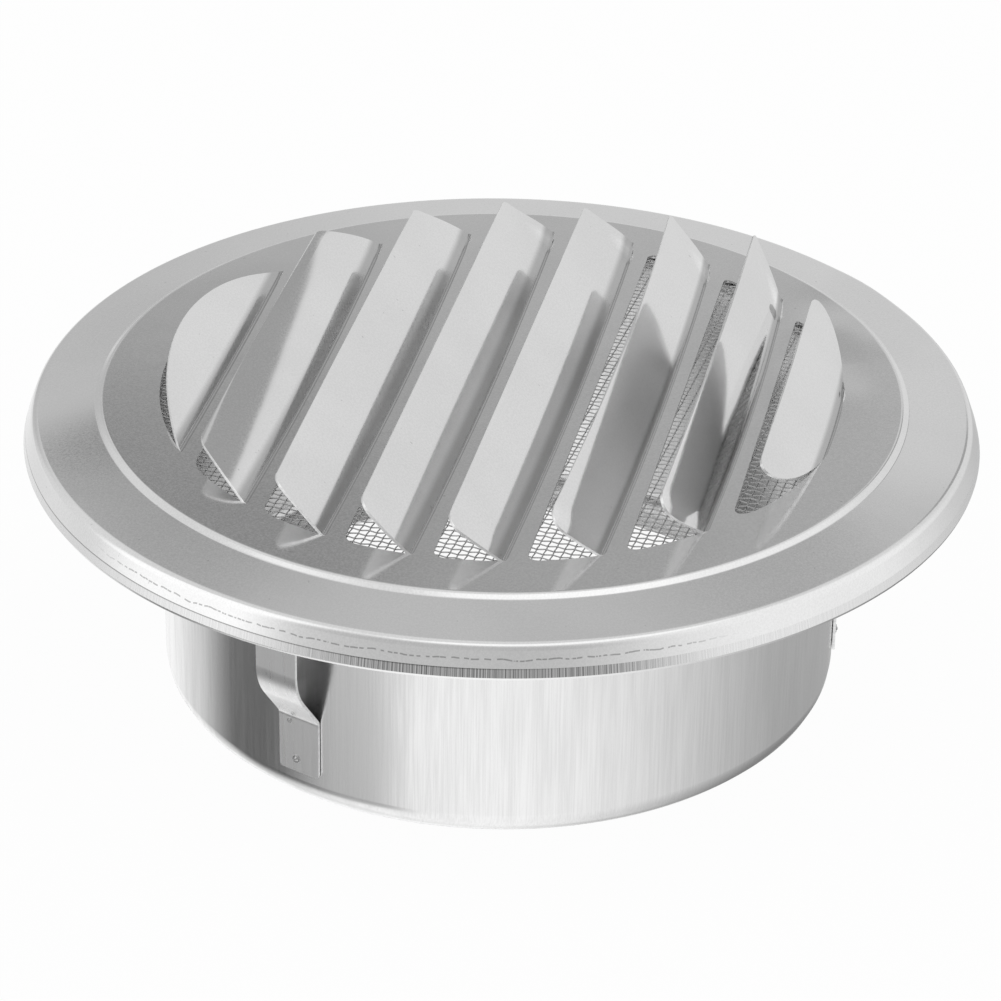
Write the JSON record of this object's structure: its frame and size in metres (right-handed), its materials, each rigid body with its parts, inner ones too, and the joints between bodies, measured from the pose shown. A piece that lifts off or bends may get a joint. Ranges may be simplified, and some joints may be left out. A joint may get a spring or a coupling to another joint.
{
  "type": "round vent cover",
  "caption": "Round pressed steel vent cover with fixed louvres, an insect screen and a collar whose spring clips grip a round duct.",
  "frame": {"origin": "centre of the wall plane, in which the cut edge of the face's skirt lies", "axes": "+Z out of the wall through the louvres, -Z into the duct; the louvres run along Y and are bent up about their +X sides"},
  "size_m": [0.164, 0.164, 0.0627],
  "materials": {
    "pressed_sheet": "dull pressed stainless sheet",
    "screen_wire": "bright drawn wire",
    "drawn_sheet": "stainless sheet with upright draw marks",
    "spring_strip": "rolled spring strip"
  },
  "bodies": {
    "root": {"face_plate": "pressed_sheet", "insect_screen": "screen_wire", "collar": "drawn_sheet", "spring_clip_1": "spring_strip", "spring_clip_2": "spring_strip", "spring_clip_3": "spring_strip"}
  },
  "joints": []
}
